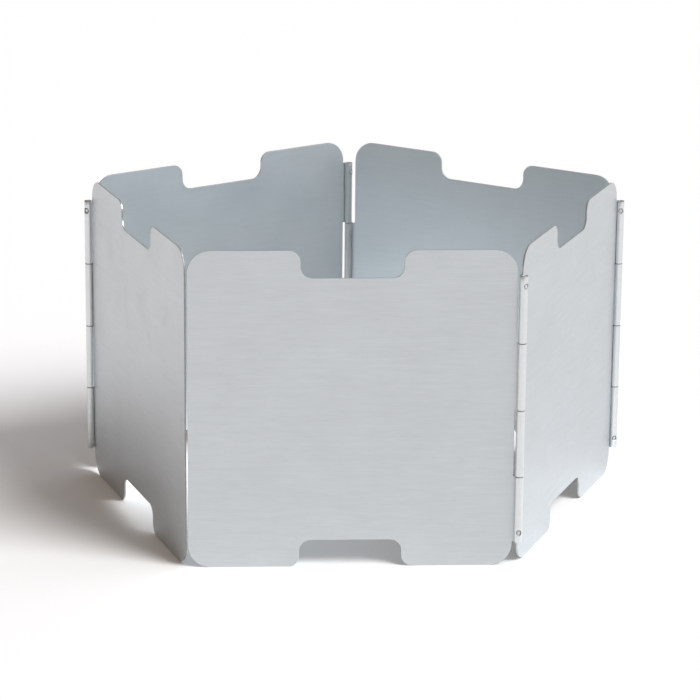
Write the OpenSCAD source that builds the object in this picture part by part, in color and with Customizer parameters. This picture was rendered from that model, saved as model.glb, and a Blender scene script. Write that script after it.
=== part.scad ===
// Folding stove windscreen: five near-square sheet-metal panels in an open chain,
// joined by four rolled hinges, each on its own captive wire pin.
// It stands on the bottom edges of its panels, set up around the stove.
// Millimetres, Z up, front panel facing -Y, origin at the middle of the footprint on the ground.

/* [Panels] */
// Width of every panel between its two side edges
panel_w = 127; // [110:1:150]
// Height of every panel
panel_h = 128; // [110:1:150]
// Thickness of the sheet
sheet_t = 0.7; // [0.6:0.05:0.8]
// Radius of the four outer corners of a panel
corner_r = 9; // [6:0.5:12]

/* [Notches] */
// Width between the straight walls of the top and bottom notches
notch_w = 40; // [30:1:50]
// Radius of the notch at its floor and at its mouth
notch_r = 4.5; // [3:0.25:6]
// Straight part of the notch wall between the two radii
notch_wall = 2; // [1:0.25:4]

/* [Hinges] */
// Outer diameter of the rolled hinge barrel
barrel_d = 3.3; // [3.1:0.05:3.6]
// Clearance all round between the pin and the inside of the barrel
pin_clear = 0.05; // [0.03:0.01:0.08]
// Gap between a barrel and the side edge of the neighbouring panel
slot_clear = 0.6; // [0.45:0.05:1.2]
// The same gap beside the back centre barrel, on the back right panel, where it is wider
slot_back = 1.15; // [0.6:0.05:1.5]
// Gap between one knuckle and the next along the barrel
knuckle_gap = 0.25; // [0.15:0.05:0.4]
// Length of straight side edge between the corner rounding and the barrel end
barrel_inset = 1; // [0.5:0.1:2]
// Open seam between the free edge of a curl and the face of its sheet
seam_gap = 0.2; // [0.1:0.05:0.3]
// Radius of the outer corner at the free edge of the end curls
curl_corner_r = 1.3; // [0.8:0.1:1.6]

/* [Stakes] */
// Distance from the barrel end to the middle of the stake that holds the pin in
stake_inset = 4; // [3.5:0.1:5]
// Depth of the wide dish of a stake
stake_depth = 0.42; // [0.3:0.02:0.5]
// Radius of the ball that presses the dish of a stake
stake_ball_r = 2.2; // [1.8:0.1:2.6]
// Radius of the small punch point in the middle of a stake
stake_point_r = 0.6; // [0.4:0.05:0.8]
// Distance that the dented wall reaches into the barrel
stake_reach = 0.45; // [0.35:0.05:0.55]
// Free length between a pin end and its stake
pin_end_gap = 0.3; // [0.1:0.05:0.6]
// Chamfer on the pin ends
pin_chamfer = 0.2; // [0.1:0.05:0.3]

/* [Set-up] */
// Turn from the front panel to the right panel
turn_front_right = 66.5; // [63:0.1:71]
// Turn from the right panel to the back right panel
turn_right_rear = 79.3; // [74:0.1:83]
// Gap between the free ends of the left and front panels at the open corner
corner_gap = 0.4; // [0.3:0.05:0.8]

/* [Hidden] */

// hinge section
barrel_r = barrel_d / 2;
bore_r = barrel_r - sheet_t;
pin_r = bore_r - pin_clear;
// side edge of a panel to the hinge axis, along the panel
edge_to_axis = barrel_r + slot_clear;
back_edge_to_axis = barrel_r + slot_back;
// middle of the sheet to the hinge axis, across the panel
sheet_to_axis = barrel_r - sheet_t / 2;
hinge_pitch = panel_w + 2 * edge_to_axis;
back_pitch = panel_w + edge_to_axis + back_edge_to_axis;
free_reach = panel_w + edge_to_axis;
barrel_z0 = corner_r + barrel_inset;
barrel_len = panel_h - 2 * barrel_z0;
knuckle_len = (barrel_len - 3 * knuckle_gap) / 4;
knuckle_step = knuckle_len + knuckle_gap;
// the curl ends where its outer corner is one seam gap above the sheet
seam_angle = 180 + asin((bore_r - seam_gap) / barrel_r);
seam_y = -(bore_r - seam_gap);
cut_reach = 3 * barrel_r;
// how far a tab runs into its panel, so that the two are one sheet
tab_root = 1.5;

// stakes: the inner dent is a ball whose tip reaches into the bore
dent_ball_r = 1.2;
// angle of the stakes round each barrel, at its bottom end and at its top end
stakes_fr = [83, 62];
stakes_rr = [-37, 157];
stakes_bc = [70, 69];
stakes_lr = [70, -24];
dent_centre = bore_r - stake_reach + dent_ball_r;
dent_half = sqrt(dent_ball_r * dent_ball_r - (dent_centre - pin_r) * (dent_centre - pin_r));
pin_inset = stake_inset + dent_half + pin_end_gap;
pin_len = barrel_len - 2 * pin_inset;

// notches
notch_depth = 2 * notch_r + notch_wall;
eps = 0.01;

// direction and left-hand normal of a panel set at an angle
function along(a) = [cos(a), sin(a)];
function left_of(a) = [-sin(a), cos(a)];

// plan of the chain, seen from above, with the front right hinge at the start.
// The back centre hinge has its barrel inside the ring, the other three outside.
dir_front = 0;
dir_right = turn_front_right;
dir_back_right = turn_front_right + turn_right_rear;
axis_fr = [0, 0];
axis_rr = axis_fr + hinge_pitch * along(dir_right);
axis_bc = axis_rr + back_pitch * along(dir_back_right) + 2 * sheet_to_axis * left_of(dir_back_right);
// the left panel ends beside the free end of the front panel, flush with its outer face
meet = [-free_reach - corner_gap - sheet_t / 2, sheet_to_axis - sheet_t / 2];
link_back = sqrt(hinge_pitch * hinge_pitch + 4 * sheet_to_axis * sheet_to_axis);
link_left = sqrt(free_reach * free_reach + sheet_to_axis * sheet_to_axis);
span = meet - axis_bc;
span_len = norm(span);
span_dir = atan2(span[1], span[0]);
span_cos = (link_back * link_back + span_len * span_len - link_left * link_left)
    / (2 * link_back * span_len);
back_link_dir = span_dir - acos(span_cos);
axis_lr = axis_bc + link_back * along(back_link_dir);
left_link = meet - axis_lr;
dir_back_left = back_link_dir + atan2(2 * sheet_to_axis, hinge_pitch);
dir_left = atan2(left_link[1], left_link[0]) - atan2(sheet_to_axis, free_reach);

// middle of the footprint
centre_x = (axis_lr[0] + axis_rr[0]) / 2;
centre_y = (axis_fr[1] + axis_bc[1]) / 2;

// start edge of each panel, on the middle of its sheet
start_front = [-free_reach, sheet_to_axis];
start_right = axis_fr + sheet_to_axis * left_of(dir_right) + edge_to_axis * along(dir_right);
start_back_right = axis_rr + sheet_to_axis * left_of(dir_back_right)
    + edge_to_axis * along(dir_back_right);
start_back_left = axis_bc - sheet_to_axis * left_of(dir_back_left)
    + edge_to_axis * along(dir_back_left);
start_left = axis_lr + sheet_to_axis * left_of(dir_left) + edge_to_axis * along(dir_left);

metal = [0.80, 0.81, 0.82];
metal_left = [0.72, 0.72, 0.71];
metal_right = [0.86, 0.88, 0.89];
metal_back = [0.64, 0.68, 0.72];
steel = [0.55, 0.55, 0.56];

// flat outline of one panel, x from its start edge, y up
module rounded_blank() {
    difference() {
        square([panel_w, panel_h]);
        for (sx = [0, 1], sy = [0, 1])
            translate([sx * panel_w, sy * panel_h])
                mirror([sx, 0])
                    mirror([0, sy])
                        difference() {
                            translate([-1, -1])
                                square([corner_r + 1, corner_r + 1]);
                            translate([corner_r, corner_r])
                                circle(r = corner_r, $fn = 96);
                        }
    }
}

// notch with its floor up and its mouth on the line y = 0
module notch_shape() {
    half = notch_w / 2;
    translate([-half + notch_r, -1])
        square([notch_w - 2 * notch_r, notch_depth + 1]);
    translate([-half, -1])
        square([notch_w, notch_depth - notch_r + 1]);
    for (s = [-1, 1])
        translate([s * (half - notch_r), notch_depth - notch_r])
            circle(r = notch_r, $fn = 72);
    // rounded mouth
    difference() {
        translate([-half - notch_r, -1])
            square([notch_w + 2 * notch_r, notch_r + 1]);
        for (s = [-1, 1])
            translate([s * (half + notch_r), notch_r])
                circle(r = notch_r, $fn = 72);
    }
}

module panel_outline() {
    difference() {
        rounded_blank();
        translate([panel_w / 2, 0])
            notch_shape();
        translate([panel_w / 2, panel_h])
            mirror([0, 1])
                notch_shape();
    }
}

// section of a rolled tab: hinge axis at the origin, its sheet running off to -x below the axis
module curl_section(reach) {
    difference() {
        circle(r = barrel_r, $fn = 72);
        circle(r = bore_r, $fn = 72);
        polygon([[0, 0],
            [cut_reach * cos(seam_angle), cut_reach * sin(seam_angle)],
            [-cut_reach, -cut_reach],
            [0, -cut_reach]]);
    }
    translate([-reach - tab_root, -barrel_r])
        square([reach + tab_root, sheet_t]);
}

// rounded outer corner at the free edge of an end curl, cut at height z, on the side up
module curl_corner_cut(z, up) {
    translate([-cut_reach, seam_y - eps, z])
        mirror([0, 0, up ? 0 : 1])
            rotate([90, 0, 90])
                linear_extrude(height = cut_reach - barrel_r / 4)
                    difference() {
                        translate([0, -curl_corner_r])
                            square([curl_corner_r, curl_corner_r + 1]);
                        translate([curl_corner_r, -curl_corner_r])
                            circle(r = curl_corner_r, $fn = 48);
                    }
}

// one knuckle: k counts from the bottom, stakes are the stake angles of its barrel,
// reach is the distance from its panel's side edge to the axis
module knuckle(k, stakes, reach) {
    z0 = barrel_z0 + k * knuckle_step;
    at_bottom = k == 0;
    at_end = k == 0 || k == 3;
    z_end = at_bottom ? barrel_z0 : barrel_z0 + barrel_len;
    z_stake = at_bottom ? barrel_z0 + stake_inset : barrel_z0 + barrel_len - stake_inset;
    stake = at_bottom ? stakes[0] : stakes[1];
    difference() {
        union() {
            translate([0, 0, z0])
                linear_extrude(height = knuckle_len)
                    curl_section(reach);
            if (at_end)
                intersection() {
                    rotate([0, 0, stake])
                        translate([dent_centre, 0, z_stake])
                            sphere(r = dent_ball_r, $fn = 48);
                    translate([0, 0, z0])
                        cylinder(r = barrel_r - sheet_t / 4, h = knuckle_len, $fn = 72);
                }
        }
        if (at_end)
            rotate([0, 0, stake])
                translate([barrel_r, 0, z_stake]) {
                    translate([stake_ball_r - stake_depth, 0, 0])
                        sphere(r = stake_ball_r, $fn = 72);
                    translate([-stake_depth + stake_point_r / 2, 0, 0])
                        sphere(r = stake_point_r, $fn = 48);
                }
        if (at_end)
            curl_corner_cut(z_end, !at_bottom);
    }
}

// knuckles at the start or the end edge of a panel; inside = barrel on the left of the panel.
// ks lists the knuckles of this panel, stakes are the stake angles of the barrel
module knuckles_at(at_start, inside, ks, stakes, reach = edge_to_axis) {
    translate([at_start ? -reach : panel_w + reach,
            inside ? sheet_to_axis : -sheet_to_axis, 0])
        mirror([at_start ? 1 : 0, 0, 0])
            mirror([0, inside ? 0 : 1, 0])
                for (k = ks)
                    knuckle(k, stakes, reach);
}

module flat_sheet() {
    translate([0, sheet_t / 2, 0])
        rotate([90, 0, 0])
            linear_extrude(height = sheet_t)
                panel_outline();
}

// puts a panel or a pin of the plan into the shared frame
module set_up(p, a) {
    translate([p[0] - centre_x, p[1] - centre_y, 0])
        rotate([0, 0, a])
            children();
}

module front_panel() {
    color(metal)
        set_up(start_front, dir_front)
            union() {
                flat_sheet();
                knuckles_at(false, false, [0, 2], stakes_fr);
            }
}

module right_panel() {
    color(metal_right)
        set_up(start_right, dir_right)
            union() {
                flat_sheet();
                knuckles_at(true, false, [1, 3], stakes_fr);
                knuckles_at(false, false, [1, 3], stakes_rr);
            }
}

module back_right_panel() {
    color(metal_back)
        set_up(start_back_right, dir_back_right)
            union() {
                flat_sheet();
                knuckles_at(true, false, [0, 2], stakes_rr);
                knuckles_at(false, true, [0, 2], stakes_bc, back_edge_to_axis);
            }
}

module back_left_panel() {
    color(metal_back)
        set_up(start_back_left, dir_back_left)
            union() {
                flat_sheet();
                knuckles_at(true, true, [1, 3], stakes_bc);
                knuckles_at(false, false, [1, 3], stakes_lr);
            }
}

module left_panel() {
    color(metal_left)
        set_up(start_left, dir_left)
            union() {
                flat_sheet();
                knuckles_at(true, false, [0, 2], stakes_lr);
            }
}

// wire pin of one hinge, held between the two stakes of its barrel
module hinge_pin(p) {
    color(steel)
        set_up(p, 0)
            translate([0, 0, barrel_z0 + pin_inset])
                union() {
                    cylinder(r1 = pin_r - pin_chamfer, r2 = pin_r, h = pin_chamfer, $fn = 48);
                    translate([0, 0, pin_chamfer])
                        cylinder(r = pin_r, h = pin_len - 2 * pin_chamfer, $fn = 48);
                    translate([0, 0, pin_len - pin_chamfer])
                        cylinder(r1 = pin_r, r2 = pin_r - pin_chamfer, h = pin_chamfer, $fn = 48);
                }
}

module front_right_pin() {
    hinge_pin(axis_fr);
}

module right_rear_pin() {
    hinge_pin(axis_rr);
}

module back_centre_pin() {
    hinge_pin(axis_bc);
}

module left_rear_pin() {
    hinge_pin(axis_lr);
}

front_panel();
right_panel();
back_right_panel();
back_left_panel();
left_panel();
front_right_pin();
right_rear_pin();
back_centre_pin();
left_rear_pin();
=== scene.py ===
import bmesh
import bpy
import math
from mathutils import Euler, Matrix, Vector


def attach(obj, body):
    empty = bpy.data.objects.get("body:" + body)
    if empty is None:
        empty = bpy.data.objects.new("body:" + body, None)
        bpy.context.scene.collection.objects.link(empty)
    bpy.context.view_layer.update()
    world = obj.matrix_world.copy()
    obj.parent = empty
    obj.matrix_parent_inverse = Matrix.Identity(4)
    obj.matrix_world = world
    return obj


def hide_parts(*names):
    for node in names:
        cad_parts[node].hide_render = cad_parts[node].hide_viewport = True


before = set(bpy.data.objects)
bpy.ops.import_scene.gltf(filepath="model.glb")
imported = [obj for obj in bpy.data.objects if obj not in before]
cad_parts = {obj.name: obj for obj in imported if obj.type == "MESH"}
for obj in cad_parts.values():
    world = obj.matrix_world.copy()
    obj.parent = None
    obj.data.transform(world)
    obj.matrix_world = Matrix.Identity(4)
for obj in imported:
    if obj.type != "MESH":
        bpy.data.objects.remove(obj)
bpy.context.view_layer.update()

# Camera: a long lens 1.2 m in front of the screen and 0.44 m above its floor, a little to
# its left, tilted down so that the far side of the ring shows over the front panel.
camera_place = (-0.0683, -1.3119, 0.4435)
camera_down = math.radians(16.253)
camera_to_right = math.radians(2.856)
camera_roll = math.radians(0.517)
camera_lens = 169.38
bpy.ops.object.select_all(action="DESELECT")
bpy.ops.object.camera_add(location=camera_place)
camera = bpy.context.object
camera.name = "camera"
camera.data.sensor_width = 36.0
camera.data.lens = camera_lens
camera.data.clip_end = 60.0
aim = Euler((math.pi / 2 - camera_down, 0.0, -camera_to_right)).to_matrix()
camera.rotation_euler = (aim @ Matrix.Rotation(camera_roll, 3, "Z")).to_euler()
bpy.context.scene.camera = camera

# Studio: one wide sheet of matt white paper as the floor, a room that is dim and warm on
# the left and pale and cool on the right, and a soft key light from the right and in front.
floor_wide = 14.0
paper_white = (0.92, 0.92, 0.92, 1.0)
warm_left = (0.19, 0.13, 0.08, 1.0)
cool_right = (0.70, 0.73, 0.78, 1.0)
room_blend = 0.8
key_strength = 2.98
key_spread = math.radians(32)
key_from = Vector((0.70, -0.50, 0.85))
bpy.context.scene.view_settings.view_transform = "Standard"
bpy.ops.object.select_all(action="DESELECT")
bpy.ops.mesh.primitive_plane_add(size=floor_wide, location=(0.0, 0.0, 0.0))
floor = bpy.context.object
floor.name = "floor"
paper = bpy.data.materials.new("matt_white_paper")
paper.use_nodes = True
paper_shader = paper.node_tree.nodes["Principled BSDF"]
paper_shader.inputs["Base Color"].default_value = paper_white
paper_shader.inputs["Roughness"].default_value = 0.9
paper_shader.inputs["Specular IOR Level"].default_value = 0.1
floor.data.materials.append(paper)

room = bpy.data.worlds.new("pale_room")
room.use_nodes = True
room_tree = room.node_tree
looking = room_tree.nodes.new("ShaderNodeTexCoord")
looking_parts = room_tree.nodes.new("ShaderNodeSeparateXYZ")
across_room = room_tree.nodes.new("ShaderNodeMapRange")
across_room.interpolation_type = "SMOOTHSTEP"
across_room.inputs["From Min"].default_value = -room_blend
across_room.inputs["From Max"].default_value = room_blend
room_colour = room_tree.nodes.new("ShaderNodeMix")
room_colour.data_type = "RGBA"
room_colour.inputs["A"].default_value = warm_left
room_colour.inputs["B"].default_value = cool_right
room_tree.links.new(looking.outputs["Generated"], looking_parts.inputs["Vector"])
room_tree.links.new(looking_parts.outputs["X"], across_room.inputs["Value"])
room_tree.links.new(across_room.outputs["Result"], room_colour.inputs["Factor"])
room_tree.links.new(room_colour.outputs["Result"], room_tree.nodes["Background"].inputs["Color"])
bpy.context.scene.world = room

bpy.ops.object.light_add(type="SUN", location=(1.0, -1.0, 1.6))
key = bpy.context.object
key.name = "key_light"
key.data.energy = key_strength
key.data.angle = key_spread
key.rotation_euler = key_from.to_track_quat("Z", "Y").to_euler()

# Front panel: 0.7 mm aluminium sheet, satin outside, with painted light making the inside brighter,
# sheared to a blank with round corners and a notch at top and bottom. Two tabs on its right edge
# are rolled into knuckles, and the lowest one is staked so that the pin can't slide out.
panel_wide = 0.127
panel_high = 0.128
sheet_thick = 0.0007
corner_round = 0.009
corner_steps = 18
notch_wide = 0.040
notch_deep = 0.011
notch_round = 0.0045
notch_steps = 12
barrel_outside = 0.00165
curl_middle = barrel_outside - sheet_thick / 2
edge_to_axis = 0.00225
barrel_foot = 0.010
knuckle_high = 0.0268125
knuckle_step = knuckle_high + 0.00025
barrel_top = panel_high - barrel_foot
curl_turn = math.radians(302.6)
curl_steps = 54
curl_corner = 0.0013
edge_break = 0.00009
edge_break_angle = math.radians(60)
smooth_angle = math.radians(42)
plain_edge_reach = 0.0026

# knuckles of a barrel, counted from the bottom
first_and_third = (0, 2)
second_and_fourth = (1, 3)

# how near two places count as the same, and where tabs and curls are looked for
same_place = 1e-6
tab_begins = 0.0003
neck_ends = 0.0020
off_sheet = 0.0005
curl_band = 0.0004
curl_slack = 0.02
curl_begun = 1.0

# the stake that holds a pin in: a dish with a steep wall, a low crown and a small point
stake_from_end = 0.004
stake_rows = 10
stake_row_step = 0.00015
dish_edge = 0.00128
dish_floor = 0.00092
dish_deep = 0.00042
crown = 0.00022
point_wide = 0.0004
inside_dent = 0.00045
dish_shade_from = dish_floor * 0.8
dish_shade_to = dish_edge * 0.95
barrel_skin = barrel_outside + 0.0001
stake_band = 0.0005
stake_reach = 0.002

# the places of the finishes on every panel, after the satin outside, which comes first; the inside
# and curl finishes are painted light, and the dark edge is painted shade
sheared_slot = 1
inside_painted_light_slot = 2
curled_painted_light_slot = 3
painted_shade_slot = 4

front_start = (-0.0703281, -0.0950331)
front_turn = 0.0
front_stake_turn = 83


def node(tree, kind, at, **settings):
    """adds one shader node at a place in its tree"""
    made = tree.nodes.new(kind)
    made.location = at
    for name, value in settings.items():
        setattr(made, name, value)
    return made


# the marks that rolling leaves in sheet: fine lines along the sheet and wide pale clouds
rolling = bpy.data.node_groups.new("rolling_marks", "ShaderNodeTree")
rolling.interface.new_socket("Place", in_out="INPUT", socket_type="NodeSocketVector")
rolling.interface.new_socket("Line height", in_out="INPUT", socket_type="NodeSocketFloat")
rolling.interface.new_socket("Lines", in_out="OUTPUT", socket_type="NodeSocketFloat")
rolling.interface.new_socket("Clouds", in_out="OUTPUT", socket_type="NodeSocketFloat")
rolling_in = node(rolling, "NodeGroupInput", (-900, 0))
rolling_out = node(rolling, "NodeGroupOutput", (500, 0))
stretch = node(rolling, "ShaderNodeMapping", (-700, 100))
stretch.inputs["Scale"].default_value = (150.0, 150.0, 1900.0)
fine_lines = node(rolling, "ShaderNodeTexNoise", (-450, 200))
fine_lines.inputs["Scale"].default_value = 1.0
fine_lines.inputs["Detail"].default_value = 4.0
fine_lines.inputs["Roughness"].default_value = 0.65
coarse_stretch = node(rolling, "ShaderNodeMapping", (-700, -150))
coarse_stretch.inputs["Scale"].default_value = (45.0, 45.0, 800.0)
coarse_lines = node(rolling, "ShaderNodeTexNoise", (-450, -100))
coarse_lines.inputs["Scale"].default_value = 1.0
coarse_lines.inputs["Detail"].default_value = 3.0
both_lines = node(rolling, "ShaderNodeMix", (-150, 100), data_type="FLOAT")
both_lines.inputs["Factor"].default_value = 0.4
clouds = node(rolling, "ShaderNodeTexNoise", (-450, -350))
clouds.inputs["Scale"].default_value = 42.0
clouds.inputs["Detail"].default_value = 5.0
clouds.inputs["Roughness"].default_value = 0.6
height_scale = node(rolling, "ShaderNodeVectorMath", (-850, 250), operation="MULTIPLY")
join_height = node(rolling, "ShaderNodeCombineXYZ", (-900, 400))
join_height.inputs["X"].default_value = 1.0
join_height.inputs["Y"].default_value = 1.0
rolling.links.new(rolling_in.outputs["Line height"], join_height.inputs["Z"])
rolling.links.new(rolling_in.outputs["Place"], height_scale.inputs[0])
rolling.links.new(join_height.outputs["Vector"], height_scale.inputs[1])
rolling.links.new(height_scale.outputs["Vector"], stretch.inputs["Vector"])
rolling.links.new(height_scale.outputs["Vector"], coarse_stretch.inputs["Vector"])
rolling.links.new(stretch.outputs["Vector"], fine_lines.inputs["Vector"])
rolling.links.new(coarse_stretch.outputs["Vector"], coarse_lines.inputs["Vector"])
rolling.links.new(fine_lines.outputs["Fac"], both_lines.inputs["A"])
rolling.links.new(coarse_lines.outputs["Fac"], both_lines.inputs["B"])
rolling.links.new(rolling_in.outputs["Place"], clouds.inputs["Vector"])
rolling.links.new(both_lines.outputs["Result"], rolling_out.inputs["Lines"])
rolling.links.new(clouds.outputs["Fac"], rolling_out.inputs["Clouds"])

# what hands and packing leave on soft metal: smudges and a few hair-fine scuffs
handling = bpy.data.node_groups.new("handling_marks", "ShaderNodeTree")
handling.interface.new_socket("Place", in_out="INPUT", socket_type="NodeSocketVector")
handling.interface.new_socket("Smudges", in_out="OUTPUT", socket_type="NodeSocketFloat")
handling.interface.new_socket("Scuffs", in_out="OUTPUT", socket_type="NodeSocketFloat")
handling_in = node(handling, "NodeGroupInput", (-900, 0))
handling_out = node(handling, "NodeGroupOutput", (500, 0))
smudge_noise = node(handling, "ShaderNodeTexNoise", (-600, 200))
smudge_noise.inputs["Scale"].default_value = 90.0
smudge_noise.inputs["Detail"].default_value = 6.0
smudge_noise.inputs["Distortion"].default_value = 0.8
smudge_range = node(handling, "ShaderNodeMapRange", (-350, 200))
smudge_range.inputs["From Min"].default_value = 0.56
smudge_range.inputs["From Max"].default_value = 0.74
scuff_turn = node(handling, "ShaderNodeMapping", (-750, -150))
scuff_turn.inputs["Rotation"].default_value = (0.3, 0.9, 0.2)
scuff_turn.inputs["Scale"].default_value = (900.0, 60.0, 45.0)
scuff_noise = node(handling, "ShaderNodeTexNoise", (-550, -150))
scuff_noise.inputs["Scale"].default_value = 1.0
scuff_noise.inputs["Detail"].default_value = 2.0
scuff_range = node(handling, "ShaderNodeMapRange", (-350, -150))
scuff_range.inputs["From Min"].default_value = 0.70
scuff_range.inputs["From Max"].default_value = 0.76
handling.links.new(handling_in.outputs["Place"], smudge_noise.inputs["Vector"])
handling.links.new(handling_in.outputs["Place"], scuff_turn.inputs["Vector"])
handling.links.new(smudge_noise.outputs["Fac"], smudge_range.inputs["Value"])
handling.links.new(scuff_turn.outputs["Vector"], scuff_noise.inputs["Vector"])
handling.links.new(scuff_noise.outputs["Fac"], scuff_range.inputs["Value"])
handling.links.new(smudge_range.outputs["Result"], handling_out.inputs["Smudges"])
handling.links.new(scuff_range.outputs["Result"], handling_out.inputs["Scuffs"])


def worked_metal(name, dark, pale, gloss, line_height, line_depth, wave_depth):
    """bare metal with rolling lines, clouds, smudges and scuffs; gloss is a range of roughness"""
    made = bpy.data.materials.new(name)
    made.use_nodes = True
    tree = made.node_tree
    shader = tree.nodes["Principled BSDF"]
    shader.inputs["Metallic"].default_value = 1.0
    place = node(tree, "ShaderNodeTexCoord", (-1300, 0))
    rolled = node(tree, "ShaderNodeGroup", (-1050, 150), node_tree=rolling)
    rolled.inputs["Line height"].default_value = line_height
    handled = node(tree, "ShaderNodeGroup", (-1050, -150), node_tree=handling)
    tree.links.new(place.outputs["Object"], rolled.inputs["Place"])
    tree.links.new(place.outputs["Object"], handled.inputs["Place"])
    shade = node(tree, "ShaderNodeMix", (-800, 250), data_type="FLOAT")
    shade.inputs["Factor"].default_value = 0.40
    tree.links.new(rolled.outputs["Lines"], shade.inputs["A"])
    tree.links.new(rolled.outputs["Clouds"], shade.inputs["B"])
    colours = node(tree, "ShaderNodeValToRGB", (-600, 300))
    colours.color_ramp.elements[0].position = 0.30
    colours.color_ramp.elements[0].color = (*dark, 1.0)
    colours.color_ramp.elements[1].position = 0.70
    colours.color_ramp.elements[1].color = (*pale, 1.0)
    tree.links.new(shade.outputs["Result"], colours.inputs["Fac"])
    tree.links.new(colours.outputs["Color"], shader.inputs["Base Color"])
    rough = node(tree, "ShaderNodeMapRange", (-600, 0))
    rough.inputs["From Min"].default_value = 0.3
    rough.inputs["From Max"].default_value = 0.7
    rough.inputs["To Min"].default_value = gloss[0]
    rough.inputs["To Max"].default_value = gloss[1]
    tree.links.new(rolled.outputs["Clouds"], rough.inputs["Value"])
    smudged = node(tree, "ShaderNodeMath", (-400, 0), operation="MULTIPLY_ADD")
    smudged.inputs[1].default_value = 0.05
    tree.links.new(handled.outputs["Smudges"], smudged.inputs[0])
    tree.links.new(rough.outputs["Result"], smudged.inputs[2])
    tree.links.new(smudged.outputs["Value"], shader.inputs["Roughness"])
    lines = node(tree, "ShaderNodeBump", (-200, -300))
    lines.inputs["Strength"].default_value = 1.0
    lines.inputs["Distance"].default_value = line_depth
    tree.links.new(rolled.outputs["Lines"], lines.inputs["Height"])
    wave = node(tree, "ShaderNodeTexNoise", (-700, -500))
    wave.inputs["Scale"].default_value = 14.0
    wave.inputs["Detail"].default_value = 1.0
    tree.links.new(place.outputs["Object"], wave.inputs["Vector"])
    waves = node(tree, "ShaderNodeBump", (-450, -450))
    waves.inputs["Strength"].default_value = 1.0
    waves.inputs["Distance"].default_value = wave_depth
    tree.links.new(wave.outputs["Fac"], waves.inputs["Height"])
    scuffs = node(tree, "ShaderNodeBump", (-330, -600))
    scuffs.invert = True
    scuffs.inputs["Strength"].default_value = 1.0
    scuffs.inputs["Distance"].default_value = line_depth * 2
    tree.links.new(handled.outputs["Scuffs"], scuffs.inputs["Height"])
    tree.links.new(waves.outputs["Normal"], scuffs.inputs["Normal"])
    tree.links.new(scuffs.outputs["Normal"], lines.inputs["Normal"])
    tree.links.new(lines.outputs["Normal"], shader.inputs["Normal"])
    return made


# as the photograph's tones suggest, the inside is brighter than the satin outside, which is painted
# light; the curls lie between the two, their lighter colour painted light and their lower roughness
# the burnish of the curling; and the cut edges of the tabs are dark, which is painted shade
satin_sheet = worked_metal(
    "satin_rolled_aluminium",
    dark=(0.540, 0.563, 0.579),
    pale=(0.633, 0.660, 0.678),
    gloss=(0.38, 0.46),
    line_height=1.0,
    line_depth=6e-6,
    wave_depth=0.8e-3,
)
sheared_edge = worked_metal(
    "sheared_aluminium_edge",
    dark=(0.50, 0.51, 0.515),
    pale=(0.62, 0.63, 0.635),
    gloss=(0.30, 0.40),
    line_height=0.4,
    line_depth=2e-6,
    wave_depth=0.1e-3,
)
# painted light: a lighter copy of the same sheet for the inside faces, which stand in shade in the
# ring
inside_painted_light = worked_metal(
    "rolled_aluminium_inside_painted_light",
    dark=(0.785, 0.830, 0.854),
    pale=(0.855, 0.902, 0.927),
    gloss=(0.36, 0.42),
    line_height=1.2,
    line_depth=3e-6,
    wave_depth=0.8e-3,
)
# painted light: a lighter copy of the same sheet for the curls; only its lower roughness is the
# burnish of the curling
curled_sheet_painted_light = worked_metal(
    "curled_aluminium_painted_light",
    dark=(0.68, 0.70, 0.71),
    pale=(0.76, 0.78, 0.79),
    gloss=(0.26, 0.34),
    line_height=1.0,
    line_depth=3e-6,
    wave_depth=0.1e-3,
)
# painted shade: a dark copy of the sheet for the knuckles' cut edges and seams, the stake dishes and
# the plain edge at the open corner
painted_shade_edge = worked_metal(
    "aluminium_edge_painted_shade",
    dark=(0.20, 0.20, 0.20),
    pale=(0.32, 0.32, 0.32),
    gloss=(0.45, 0.60),
    line_height=0.4,
    line_depth=2e-6,
    wave_depth=0.1e-3,
)


def pick(kind, test):
    """selects what passes the test, given the middle of each point, edge or face"""
    bpy.ops.mesh.select_mode(type=kind)
    bpy.ops.mesh.select_all(action="DESELECT")
    mesh = bpy.context.edit_object.data
    made = bmesh.from_edit_mesh(mesh)
    items = {"VERT": made.verts, "EDGE": made.edges, "FACE": made.faces}[kind]
    for item in items:
        if kind == "VERT":
            middle = item.co
        elif kind == "EDGE":
            middle = (item.verts[0].co + item.verts[1].co) / 2
        else:
            middle = item.calc_center_median()
        if test(middle, item):
            item.select_set(True)
    made.select_flush_mode()
    bmesh.update_edit_mesh(mesh)


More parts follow.
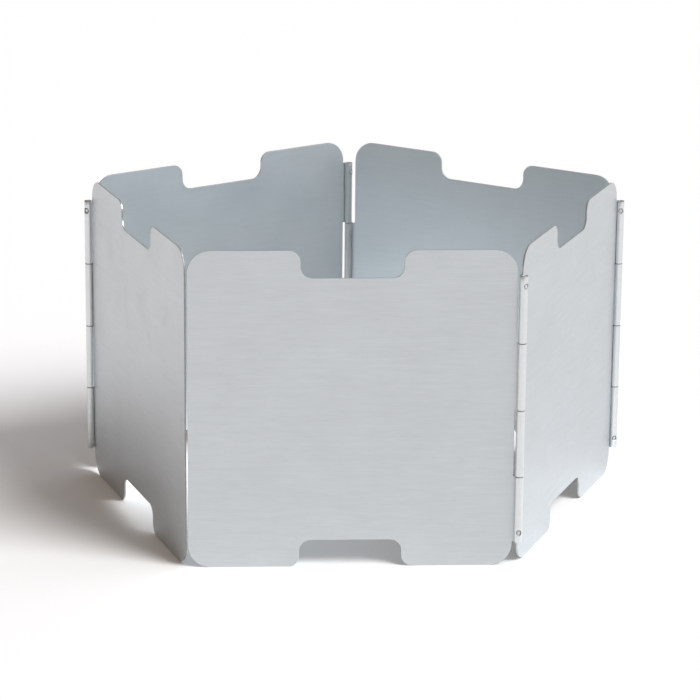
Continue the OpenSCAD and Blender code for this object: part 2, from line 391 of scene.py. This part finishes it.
def sheared_blank(name):
    """flat blank from its start edge along x: outline only, in the middle of the sheet"""
    bpy.ops.object.select_all(action="DESELECT")
    middle = (panel_wide / 2, 0.0, panel_high / 2)
    bpy.ops.mesh.primitive_plane_add(size=1.0, location=middle, rotation=(math.pi / 2, 0.0, 0.0))
    blank = bpy.context.object
    blank.name = name
    blank.scale = (panel_wide, panel_high, 1.0)
    bpy.ops.object.transform_apply(location=True, rotation=True, scale=True)
    for finish in (satin_sheet, sheared_edge, inside_painted_light, curled_sheet_painted_light, painted_shade_edge):
        blank.data.materials.append(finish)
    bpy.ops.object.mode_set(mode="EDIT")
    notch_left = (panel_wide - notch_wide) / 2
    for x in (notch_left, panel_wide - notch_left):
        bpy.ops.mesh.select_all(action="SELECT")
        bpy.ops.mesh.bisect(plane_co=(x, 0.0, 0.0), plane_no=(1.0, 0.0, 0.0))
    for z in (notch_deep, panel_high - notch_deep):
        bpy.ops.mesh.select_all(action="SELECT")
        bpy.ops.mesh.bisect(plane_co=(0.0, 0.0, z), plane_no=(0.0, 0.0, 1.0))

    def in_notch(c, f):
        beside = abs(c.x - panel_wide / 2) > notch_wide / 2
        return not beside and abs(c.z - panel_high / 2) > panel_high / 2 - notch_deep

    pick("FACE", in_notch)
    bpy.ops.mesh.delete(type="FACE")
    bpy.ops.mesh.select_all(action="SELECT")
    bpy.ops.mesh.dissolve_limited(angle_limit=0.01)

    def at_corner(c, v):
        return abs(c.x - panel_wide / 2) > panel_wide / 2 - same_place

    def at_notch(c, v):
        return abs(c.x - panel_wide / 2) < notch_wide / 2 + same_place

    pick("VERT", at_corner)
    bpy.ops.mesh.bevel(offset=corner_round, segments=corner_steps, profile=0.5, affect="VERTICES")
    pick("VERT", at_notch)
    bpy.ops.mesh.bevel(offset=notch_round, segments=notch_steps, profile=0.5, affect="VERTICES")
    return blank


def rolled_tabs(at_start, inside, tabs, stake_turn, reach=edge_to_axis):
    """draws tabs out of one side edge and rolls each into a knuckle; returns where its stake goes"""
    edge_x = 0.0 if at_start else panel_wide
    way = -1.0 if at_start else 1.0
    side = 1.0 if inside else -1.0
    axis_x = edge_x + way * reach
    axis_y = side * curl_middle
    feet = [barrel_foot + k * knuckle_step for k in tabs]
    spans = [(foot, foot + knuckle_high) for foot in feet]
    for low, high in spans:
        for z in (low, high):
            bpy.ops.mesh.select_mode(type="FACE")
            bpy.ops.mesh.select_all(action="SELECT")
            bpy.ops.mesh.bisect(plane_co=(0.0, 0.0, z), plane_no=(0.0, 0.0, 1.0))

    def on_tab(c, e):
        upright = abs(e.verts[0].co.x - e.verts[1].co.x) < same_place
        beside = upright and abs(c.x - edge_x) < same_place and abs(c.y) < same_place
        return beside and any(low < c.z < high for low, high in spans)

    pick("EDGE", on_tab)
    neck = (way * reach, 0.0, 0.0)
    bpy.ops.mesh.extrude_region_move(TRANSFORM_OT_translate={"value": neck})
    turn = way * side * curl_turn
    axis_point = (axis_x, axis_y, 0.0)
    bpy.ops.mesh.spin(steps=curl_steps, angle=-turn, center=axis_point, axis=(0.0, 0.0, 1.0))
    start_angle = -side * math.pi / 2

    def wound(c):
        angle = math.atan2(c.y - axis_y, c.x - axis_x) - start_angle
        angle = (angle * way * side) % (2 * math.pi)
        return angle if angle < curl_turn + curl_slack else 0.0

    def on_curl(c):
        return abs(math.hypot(c.x - axis_x, c.y - axis_y) - curl_middle) < curl_band

    # the two corners at the free edge of the end knuckle are rounded
    blank = bpy.context.edit_object
    made = bmesh.from_edit_mesh(blank.data)
    end_z = barrel_foot if 0 in tabs else barrel_top
    inward = 1.0 if 0 in tabs else -1.0
    for v in made.verts:
        if on_curl(v.co) and abs(v.co.z - end_z) < same_place:
            left = max(0.0, (curl_turn - wound(v.co)) * curl_middle)
            if wound(v.co) > curl_begun and left < curl_corner:
                down = math.sqrt(curl_corner ** 2 - (curl_corner - left) ** 2)
                v.co.z += inward * (curl_corner - down)
    bmesh.update_edit_mesh(blank.data)
    stake_z = end_z + inward * stake_from_end

    def by_stake(c, f):
        return on_curl(c) and abs(c.z - end_z) < knuckle_high

    # fine rows of faces for the stake to be pressed into
    for z in [stake_z + i * stake_row_step for i in range(-stake_rows, stake_rows + 1)]:
        pick("FACE", by_stake)
        bpy.ops.mesh.bisect(plane_co=(0.0, 0.0, z), plane_no=(0.0, 0.0, 1.0))
    stake_angle = math.radians(stake_turn) * way * side
    if at_start:
        stake_angle += math.pi
    return (axis_x, axis_y, stake_z, stake_angle)


def give_thickness(piece):
    """sheet thickness, the small break on its sheared edges, and the finishes of its faces: painted
    light inside and on the curls, painted shade on the tabs' cut edges
    """
    bpy.ops.mesh.select_all(action="SELECT")
    bpy.ops.mesh.normals_make_consistent(inside=False)
    bpy.ops.object.mode_set(mode="OBJECT")
    widest = max(piece.data.polygons, key=lambda f: f.area)
    if widest.normal.y > 0:
        piece.data.flip_normals()
    wall = piece.modifiers.new("sheet", "SOLIDIFY")
    wall.thickness = sheet_thick
    wall.offset = 0.0
    wall.use_even_offset = True
    # the inside faces take the lighter copy of the sheet: painted light
    wall.material_offset = inside_painted_light_slot
    wall.material_offset_rim = sheared_slot
    bpy.ops.object.modifier_apply(modifier="sheet")
    bpy.ops.object.mode_set(mode="EDIT")
    bpy.ops.mesh.select_all(action="SELECT")
    bpy.ops.mesh.normals_make_consistent(inside=False)
    bpy.ops.object.mode_set(mode="OBJECT")
    soft = piece.modifiers.new("edge_break", "BEVEL")
    soft.width = edge_break
    soft.segments = 2
    soft.limit_method = "ANGLE"
    soft.angle_limit = edge_break_angle
    bpy.ops.object.modifier_apply(modifier="edge_break")
    for face in piece.data.polygons:
        beyond_edge = abs(face.center.x - panel_wide / 2) - panel_wide / 2
        bent = abs(face.center.y) > off_sheet or beyond_edge > neck_ends
        # cut edges on the tabs take the dark copy of the sheet: painted shade
        if beyond_edge > tab_begins and face.material_index == sheared_slot:
            face.material_index = painted_shade_slot
        # the rest of the curls takes the lighter copy of the sheet: painted light
        elif beyond_edge > tab_begins and bent:
            face.material_index = curled_painted_light_slot


def paint_shade_on_plain_edge(piece, edge_x):
    """paints shade on the plain cut edge at the open corner, with the dark copy of the sheet that
    the knuckles' cut edges have
    """
    for face in piece.data.polygons:
        if face.material_index == sheared_slot and abs(face.center.x - edge_x) < plain_edge_reach:
            face.material_index = painted_shade_slot


def press_stake(piece, stake):
    """presses the dish and its point into a knuckle, through to the inside, and paints shade on its
    wall
    """
    axis_x, axis_y, stake_z, stake_angle = stake
    for v in piece.data.vertices:
        out = Vector((v.co.x - axis_x, v.co.y - axis_y))
        r = out.length
        if abs(r - curl_middle) > stake_band or abs(v.co.z - stake_z) > stake_reach:
            continue
        around = (math.atan2(out.y, out.x) - stake_angle + math.pi) % (2 * math.pi) - math.pi
        far = math.hypot(around * barrel_outside, v.co.z - stake_z)
        if far >= dish_edge:
            continue
        wall = min(1.0, (dish_edge - far) / (dish_edge - dish_floor))
        deep = dish_deep * wall * wall * (3 - 2 * wall)
        if far < dish_floor:
            deep -= crown * (1 - (far / dish_floor) ** 2)
        if far < point_wide:
            deep += crown * (1 - (far / point_wide) ** 2)
        if r < curl_middle:
            deep = inside_dent * (1 - (far / dish_edge) ** 2) ** 2
        v.co.x -= out.x / r * deep
        v.co.y -= out.y / r * deep
    # painted shade: the dish wall takes the dark copy of the sheet
    for face in piece.data.polygons:
        out = Vector((face.center.x - axis_x, face.center.y - axis_y))
        around = (math.atan2(out.y, out.x) - stake_angle + math.pi) % (2 * math.pi) - math.pi
        far = math.hypot(around * barrel_outside, face.center.z - stake_z)
        if out.length < barrel_skin and dish_shade_from < far < dish_shade_to:
            face.material_index = painted_shade_slot


def set_up(piece, start, turn):
    """smooth shading with flat faces kept flat, then the panel goes to its place in the ring"""
    bpy.ops.object.select_all(action="DESELECT")
    piece.select_set(True)
    bpy.context.view_layer.objects.active = piece
    bpy.ops.object.shade_smooth_by_angle(angle=smooth_angle)
    even = piece.modifiers.new("even_normals", "WEIGHTED_NORMAL")
    even.keep_sharp = True
    bpy.ops.object.modifier_apply(modifier="even_normals")
    piece.location = (start[0], start[1], 0.0)
    piece.rotation_euler = (0.0, 0.0, turn)
    bpy.ops.object.transform_apply(location=True, rotation=True, scale=True)


def finish_panel(piece, body, cad_node):
    """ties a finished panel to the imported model"""
    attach(piece, body)
    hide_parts(cad_node)


front = sheared_blank("front_sheet")
front_stake = rolled_tabs(
    at_start=False, inside=False, tabs=first_and_third, stake_turn=front_stake_turn)
give_thickness(front)
# painted shade on the plain cut edge at the open corner
paint_shade_on_plain_edge(front, 0.0)
press_stake(front, front_stake)
set_up(front, front_start, front_turn)
finish_panel(front, "front", "front_panel")

# Right panel: the same blank with tabs on both side edges, rolled towards the outside.
# Its knuckles are the first and third from the top of both barrels, and hold the top stakes.
right_start = (0.0586269, -0.0937513)
right_turn = math.radians(66.5)
right_near_stake_turn = 62
right_far_stake_turn = 157
right = sheared_blank("right_sheet")
right_near_stake = rolled_tabs(
    at_start=True, inside=False, tabs=second_and_fourth, stake_turn=right_near_stake_turn)
right_far_stake = rolled_tabs(
    at_start=False, inside=False, tabs=second_and_fourth, stake_turn=right_far_stake_turn)
give_thickness(right)
press_stake(right, right_near_stake)
press_stake(right, right_far_stake)
set_up(right, right_start, right_turn)
finish_panel(right, "right", "right_panel")

# Back right panel: its first barrel is rolled to the outside and its last one to the inside,
# so that the back centre hinge folds the other way. It holds the bottom stakes of both.
back_right_start = (0.108766, 0.0244498)
back_right_turn = math.radians(145.8)
back_edge_to_axis = 0.0028
back_right_near_stake_turn = -37
back_right_far_stake_turn = 70
back_right = sheared_blank("back_right_sheet")
back_right_near_stake = rolled_tabs(
    at_start=True, inside=False, tabs=first_and_third, stake_turn=back_right_near_stake_turn)
back_right_far_stake = rolled_tabs(
    at_start=False,
    inside=True,
    tabs=first_and_third,
    stake_turn=back_right_far_stake_turn,
    reach=back_edge_to_axis,
)
give_thickness(back_right)
press_stake(back_right, back_right_near_stake)
press_stake(back_right, back_right_far_stake)
set_up(back_right, back_right_start, back_right_turn)
finish_panel(back_right, "back_right", "back_right_panel")

# Back left panel: rolled inwards round the back centre pin and outwards round the left rear
# pin. Its knuckles are the first and third from the top, with the top stakes.
back_left_start = (-0.00191567, 0.0962105)
back_left_turn = math.radians(-147.278)
back_left_near_stake_turn = 69
back_left_far_stake_turn = -24
back_left = sheared_blank("back_left_sheet")
back_left_near_stake = rolled_tabs(
    at_start=True, inside=True, tabs=second_and_fourth, stake_turn=back_left_near_stake_turn)
back_left_far_stake = rolled_tabs(
    at_start=False, inside=False, tabs=second_and_fourth, stake_turn=back_left_far_stake_turn)
give_thickness(back_left)
press_stake(back_left, back_left_near_stake)
press_stake(back_left, back_left_far_stake)
set_up(back_left, back_left_start, back_left_turn)
finish_panel(back_left, "back_left", "back_left_panel")

# Left panel: the last of the chain, with knuckles on its far edge only. Its plain near edge
# stands 0.4 mm beside the front panel, where the ring opens, and its cut edge is darkened as
# painted shade. It holds the bottom stake of the left rear hinge.
left_start = (-0.109439, 0.025685)
left_turn = math.radians(-72.4192)
left_stake_turn = 70
left = sheared_blank("left_sheet")
left_stake = rolled_tabs(
    at_start=True, inside=False, tabs=first_and_third, stake_turn=left_stake_turn)
give_thickness(left)
paint_shade_on_plain_edge(left, panel_wide)
press_stake(left, left_stake)
set_up(left, left_start, left_turn)
finish_panel(left, "left", "left_panel")

# Hinge pins: straight drawn steel wire with chamfered ends, one inside each barrel and held
# there by the stakes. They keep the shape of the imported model.
drawn_wire = worked_metal(
    "drawn_steel_wire",
    dark=(0.24, 0.24, 0.25),
    pale=(0.34, 0.34, 0.35),
    gloss=(0.30, 0.42),
    line_height=0.05,
    line_depth=2e-6,
    wave_depth=0.05e-3,
)
for pin_name in ("front_right_pin", "right_rear_pin", "back_centre_pin", "left_rear_pin"):
    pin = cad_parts[pin_name]
    pin.data.materials.clear()
    pin.data.materials.append(drawn_wire)
